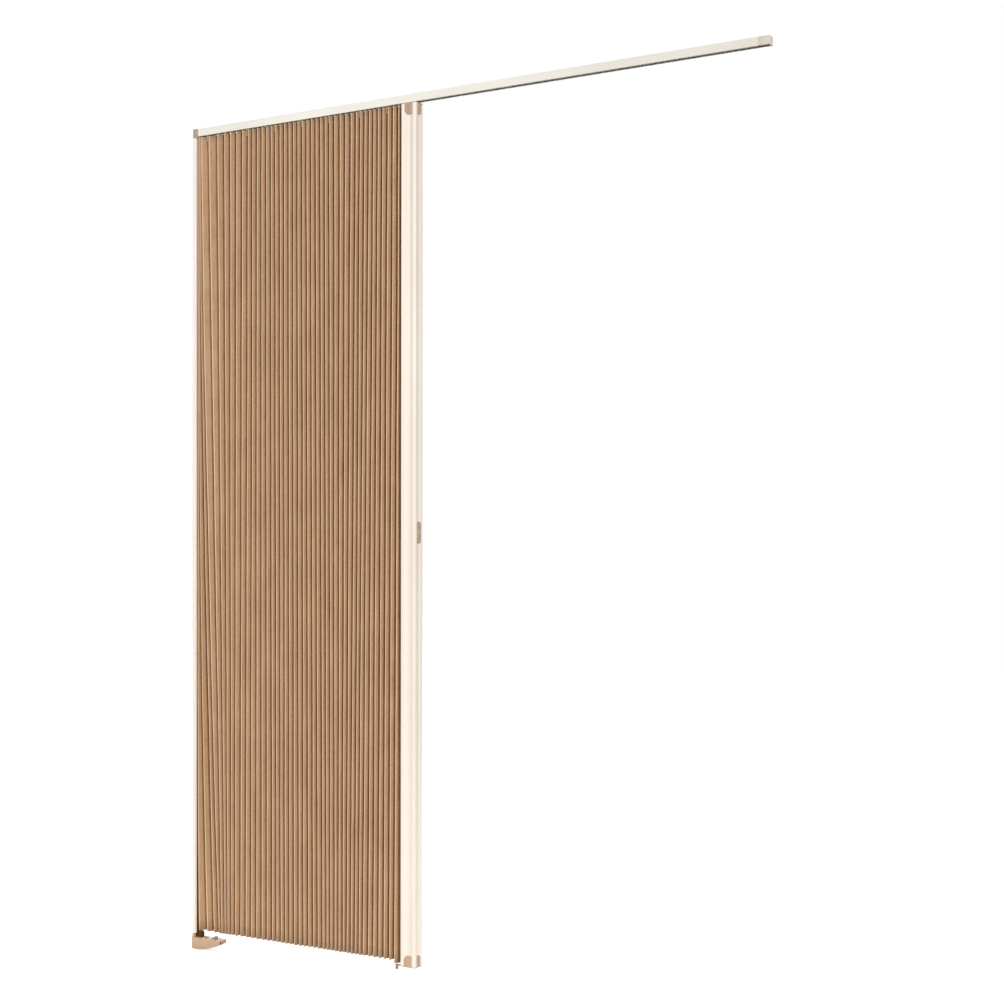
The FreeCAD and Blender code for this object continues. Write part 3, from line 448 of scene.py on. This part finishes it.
def follow(x):
    """How much of the stile's way a place along the sheet goes: none at the jamb, all at the stile."""
    return min(1, max(0, (x - CLOTH_START) / (CLOTH_END - CLOTH_START)))


HELD = [(CLOTH_START, 0)]
for place in RUNNER_PLACES:
    HELD += [(place - HELD_HALF, follow(place)), (place + HELD_HALF, follow(place))]
HELD.append((CLOTH_END, 1))


def follow_held(x):
    """The same, but all the cloth close to a runner's plate goes as far as the runner."""
    for (low, a), (high, b) in zip(HELD, HELD[1:]):
        if x <= high:
            return max(0, a + (b - a) * (x - low) / (high - low))
    return 1


def unsmoothed(weight):
    """The place between start and end at which a smooth blend has this weight."""
    return 0.5 - math.sin(math.asin(1 - 2 * weight) / 3)


def blend_ends(low, high, share):
    """The start and end between which a blend gives two places along the rail their share of the way."""
    ta, tb = unsmoothed(share(low)), unsmoothed(share(high))
    reach = (high - low) / max(tb - ta, LEAST_BLEND)
    start = low - ta * reach
    return start, start + reach


def cloth_patch(strip, left, right, top, bottom, share):
    """A part of one panel of the sheet, between two of its stations and two of its rows."""
    bm = bmesh.new()
    cut = bm.loops.layers.uv.new("cut")
    steps, rows = right - left, bottom - top
    bmesh.ops.create_grid(bm, x_segments=steps, y_segments=rows, size=0.5)
    before = sum(strip_width(s) for s in range(strip))
    grid = {
        v: (left + round((v.co.x + 0.5) * steps), top + round((0.5 - v.co.y) * rows)) for v in bm.verts
    }
    for face in bm.faces:
        for loop in face.loops:
            station, row = grid[loop.vert]
            across = before + stations(strip)[station] * strip_width(strip)
            loop[cut].uv = (across / FLAT_WIDTH, 1 - row / ROWS)
    for vert, (station, row) in grid.items():
        vert.co = cloth_point(strip, station, row)
    places = [v.co.x for v in bm.verts]
    piece = new_piece(f"cloth_patch_{strip}", bm, cloth, 180)
    start, end = blend_ends(min(places), max(places), share)
    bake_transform(piece)
    return piece


def cloth_strip(strip):
    """One panel of the sheet from fold to fold: the part below, and at the top the part that is held."""
    last = len(STATIONS) - 1
    cuts = [0]
    if strip in RUNNER_FOLDS:
        cuts.append(LEFT_CUT)
    if strip + 1 in RUNNER_FOLDS:
        cuts.append(RIGHT_CUT)
    cuts.append(last)
    patches = [cloth_patch(strip, a, b, 0, HELD_ROWS, follow_held) for a, b in zip(cuts, cuts[1:])]
    return patches + [cloth_patch(strip, 0, last, HELD_ROWS, ROWS, follow)]


def pleated_sheet():
    """The whole sheet: its panels joined along their folds into one mesh, given a thickness."""
    patches = [patch for strip in range(STRIPS) for patch in cloth_strip(strip)]
    sheet = patches[0]
    with bpy.context.temp_override(
        active_object=sheet, object=sheet, selected_objects=patches, selected_editable_objects=patches
    ):
        bpy.ops.object.join()
    sheet.name = sheet.data.name = "pleated_sheet"
    bm = bmesh.new()
    bm.from_mesh(sheet.data)
    bmesh.ops.remove_doubles(bm, verts=bm.verts, dist=WELD)
    bm.to_mesh(sheet.data)
    bm.free()
    sheet.data.shade_smooth()
    shell = sheet.modifiers.new("cloth_thickness", "SOLIDIFY")
    shell.thickness = CLOTH_THICK
    shell.offset = 0
    return sheet


sheet = pleated_sheet()
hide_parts(*SHEET_NODES)


# Mouldings

MESH_WELD = 0.002 * MM
FLAT_ANGLE = 0.5  # faces that meet at less than this are one face
SHARP_ANGLE = 32  # edges sharper than this are eased
SMOOTH_ANGLE = 35


def eased(node, name, body, finish, ease):
    """A CAD piece with its sharp edges eased, as a mould leaves them."""
    bm = bmesh.new()
    bm.from_mesh(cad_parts[node].data)
    bmesh.ops.remove_doubles(bm, verts=bm.verts, dist=MESH_WELD)
    bmesh.ops.dissolve_limit(bm, angle_limit=math.radians(FLAT_ANGLE), verts=bm.verts, edges=bm.edges)
    sharp = [
        e for e in bm.edges if len(e.link_faces) == 2 and e.calc_face_angle() > math.radians(SHARP_ANGLE)
    ]
    bmesh.ops.bevel(
        bm, geom=sharp, offset=ease, offset_type="OFFSET", affect="EDGES", segments=2, profile=0.5,
        material=-1, clamp_overlap=True,
    )
    piece = new_piece(name, bm, finish, SMOOTH_ANGLE)
    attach(piece, body)
    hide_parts(node)


eased("rail_corner_block", "corner_block_moulding", "frame", block_plastic, 0.5 * MM)
eased("rail_end_cap", "rail_end_moulding", "frame", cap_plastic, 0.3 * MM)
eased("foot", "foot_shoe", "frame", tan_plastic, 0.4 * MM)
# The inner bracket's dark brown is painted shade, for the shadow in and beside the foot and under its
# roof windows
eased("foot_bracket", "foot_inner_bracket", "frame", shade_brown_plastic, 0.4 * MM)
eased("foot_buffer", "foot_buffer_button", "frame", rubber, 1.0 * MM)
eased("stile_top_cap", "stile_top_moulding", "stile", tan_plastic, 0.3 * MM)
eased("stile_bottom_cap", "stile_bottom_moulding", "stile", tan_plastic, 0.3 * MM)
eased("catch_plate", "catch_moulding", "stile", taupe_plastic, 0.2 * MM)
eased("stop_finger", "stop_finger_arm", "stile", finger_steel, 0.5 * MM)


# Screws: shares of the head's radius, and for depths and drops of its height

RECESS_ARM = 0.52
RECESS_HALF = 0.13
RECESS_TAPER = 0.06
RECESS_DEEP = 0.6
SHOULDER_DROP = 0.14
RIM_DROP = 0.42
SHOULDER_FROM_CROWN = 0.42
SHANK = 0.53
POINT_LENGTH = 0.6
POINT_TIP = 0.15
HEAD_SEGMENTS = 24
BRIDGE_CLEAR = 5 * MM  # rings are bridged this far apart, because in one plane they can join askew


def ring_on(bm, ring, radius, height):
    """Bridges a ring of edges to a new circle of this radius at this height, which is returned."""
    circle = bmesh.ops.create_circle(
        bm, cap_ends=False, radius=radius, segments=HEAD_SEGMENTS,
        matrix=Matrix.Translation((0, 0, height - BRIDGE_CLEAR)),
    )["verts"]
    fresh = list(dict.fromkeys(e for v in circle for e in v.link_edges))
    bmesh.ops.bridge_loops(bm, edges=ring + fresh)
    bmesh.ops.translate(bm, verts=circle, vec=(0, 0, BRIDGE_CLEAR))
    return fresh


def cross_screw(node, name, body, outward, head_high, crown, finish):
    """A low head with a cross recess on a plain shank, in the place of a CAD screw."""
    low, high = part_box(node)
    outward = Vector(outward)
    length = abs((high - low).dot(outward))
    radius = max((high - low) - length * Vector(map(abs, outward))) / 2
    arm, half = RECESS_ARM * radius, RECESS_HALF * radius
    corners = [(half, half), (arm, half), (arm, -half), (half, -half), (half, -arm), (-half, -arm)]
    corners += [(-x, -y) for x, y in corners]
    bm = bmesh.new()
    recess = bm.faces.new([bm.verts.new((x, y, 0)) for x, y in corners])
    bmesh.ops.subdivide_edges(bm, edges=list(recess.edges), cuts=1)
    shoulder = SHOULDER_FROM_CROWN * crown + 1 - SHOULDER_FROM_CROWN
    shank = SHANK * radius
    profile = (
        (crown * radius, 0),
        (shoulder * radius, -SHOULDER_DROP * head_high),
        (radius, -RIM_DROP * head_high),
        (radius, -head_high),
        (shank, -head_high),
        (shank, POINT_LENGTH * radius - length),
        (POINT_TIP * shank, -length),
    )
    ring = list(recess.edges)
    for ring_radius, ring_height in profile:
        ring = ring_on(bm, ring, ring_radius, ring_height)
    bmesh.ops.edgeloop_fill(bm, edges=ring)
    recess.normal_update()
    deep = RECESS_DEEP * head_high * (-1 if recess.normal.z > 0 else 1)
    bmesh.ops.inset_region(
        bm, faces=[recess], thickness=RECESS_TAPER * radius, depth=deep, use_even_offset=True
    )
    bmesh.ops.recalc_face_normals(bm, faces=bm.faces)
    top = (low + high) / 2 + outward * length / 2
    turn = outward.to_track_quat("Z", "X").to_matrix().to_4x4()
    bmesh.ops.transform(bm, verts=bm.verts, matrix=Matrix.Translation(top) @ turn)
    piece = new_piece(name, bm, finish, SMOOTH_ANGLE)
    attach(piece, body)
    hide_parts(node)


cross_screw("foot_screw", "foot_screw_cross_head", "frame", (0, 0, 1), 1.2 * MM, 0.66, zinc)
cross_screw("catch_screw", "catch_screw_cross_head", "stile", (1, 0, 0), 1.2 * MM, 0.9, nickel)
cross_screw("stop_finger_screw", "stop_screw_cross_head", "stile", (0, 0, -1), 1.4 * MM, 0.66, zinc)


# Studio: a pale floor, a white surround, soft lamps and the camera

CAMERA_PLACE = (2.0, -3.0785, -0.9833)
CAMERA_TURNS = (90, -0.062, 31.306)
LENS_MM = 59.42
SENSOR_MM = 36
HORIZON_SHIFT = 0.0302
AMBIENT = 0.3
LAMP_SPREAD = 85
# Each lamp's place, the place that it is turned to, its width and height, and its watts
LAMPS = {
    "right_key": ((9.32, -7.17, 1.54), (-0.3, 0, -1.3), (2.7, 2.7), 247),
    "left_front_fill": ((-2.6, -4.0, 0.75), (-0.3, 0, -2.1), (2.0, 1.3), 29),
    "back_fill": ((-1.8, 4.2, 0.9), (-0.3, 0, -2.05), (2.0, 1.3), 48),
}
FLOOR_HALF = 9
FLOOR_CENTRE = (-0.3, 0.1, FLOOR_Z)
# How far from its centre the floor begins and ends to grow lighter to the eye, and darker to the light
LIFT_START, LIFT_END = 0.3, 1.6
TONE_START, TONE_END = 0.5, 1.3
LEAST_LIFT = 0.4


def shown_directly(tree):
    """1 for what the camera sees straight, in a mirror or through glass, and 0 for light on its way."""
    path = add(tree, "ShaderNodeLightPath").outputs
    seen = add(tree, "ShaderNodeMath", {
        0: path["Is Camera Ray"], 1: path["Is Glossy Ray"],
    }, operation="MAXIMUM").outputs[0]
    return add(tree, "ShaderNodeMath", {
        0: seen, 1: path["Is Transmission Ray"],
    }, operation="MAXIMUM").outputs[0]


def studio_floor():
    """A pale floor that takes the object's shadow near it and goes over into the white surround."""
    bm = bmesh.new()
    bmesh.ops.create_grid(bm, x_segments=1, y_segments=1, size=FLOOR_HALF)
    bmesh.ops.translate(bm, verts=bm.verts, vec=(0, 0, FLOOR_Z))
    material, tree, place = new_finish("studio_floor")
    off = add(tree, "ShaderNodeVectorMath", {
        0: place, 1: FLOOR_CENTRE,
    }, operation="DISTANCE").outputs["Value"]
    rise = add(tree, "ShaderNodeMapRange", {
        0: off, 1: LIFT_START, 2: LIFT_END, 3: LEAST_LIFT, 4: 1.0,
    }).outputs[0]
    away = add(tree, "ShaderNodeMapRange", {0: off, 1: TONE_START, 2: TONE_END}).outputs[0]
    tone = add(tree, "ShaderNodeMix", {
        0: away, 6: linear("B8B4AE"), 7: linear("504C47"),
    }, data_type="RGBA").outputs[2]
    plain = add(tree, "ShaderNodeBsdfDiffuse", {"Color": tone})
    white = add(tree, "ShaderNodeBsdfDiffuse", {"Color": linear("F4F3F1")})
    lift = add(tree, "ShaderNodeEmission", {"Color": (1, 1, 1, 1), "Strength": rise})
    shown = add(tree, "ShaderNodeAddShader", {0: white.outputs[0], 1: lift.outputs[0]})
    close_finish(tree, add(tree, "ShaderNodeMixShader", {
        0: shown_directly(tree), 1: plain.outputs[0], 2: shown.outputs[0],
    }))
    floor = new_piece("studio_floor", bm, material, 180)


def studio_world():
    """A white surround to the eye, which lights the object only softly."""
    world = bpy.data.worlds.new("studio_surround")
    bpy.context.scene.world = world
    world.use_nodes = True
    tree = world.node_tree
    tree.nodes.clear()
    light = add(tree, "ShaderNodeBackground", {"Color": (1.0, 0.985, 0.96, 1), "Strength": AMBIENT})
    white = add(tree, "ShaderNodeBackground", {"Color": (1, 1, 1, 1), "Strength": 1.0})
    both = add(tree, "ShaderNodeMixShader", {
        0: shown_directly(tree), 1: light.outputs[0], 2: white.outputs[0],
    })
    add(tree, "ShaderNodeOutputWorld", {"Surface": both.outputs[0]})


def soft_lamp(name, place, target, size, watts):
    """A large lamp above the rail, turned down to the lower part of the object."""
    data = bpy.data.lights.new(name, "AREA")
    data.shape = "RECTANGLE"
    data.size, data.size_y = size
    data.spread = math.radians(LAMP_SPREAD)
    data.energy = watts
    lamp = bpy.data.objects.new(name, data)
    turn = (Vector(target) - Vector(place)).to_track_quat("-Z", "Y").to_matrix().to_4x4()
    lamp.matrix_world = Matrix.Translation(place) @ turn
    bpy.context.collection.objects.link(lamp)


studio_floor()
studio_world()
for lamp_name, lamp_values in LAMPS.items():
    soft_lamp(lamp_name, *lamp_values)

camera = bpy.data.cameras.new("photo_camera")
camera.lens = LENS_MM
camera.sensor_width = SENSOR_MM
camera.shift_y = HORIZON_SHIFT
camera_object = bpy.data.objects.new("photo_camera", camera)
camera_object.location = CAMERA_PLACE
camera_object.rotation_euler = [math.radians(turn) for turn in CAMERA_TURNS]
bpy.context.collection.objects.link(camera_object)
scene = bpy.context.scene
scene.camera = camera_object
scene.view_settings.view_transform = "Standard"
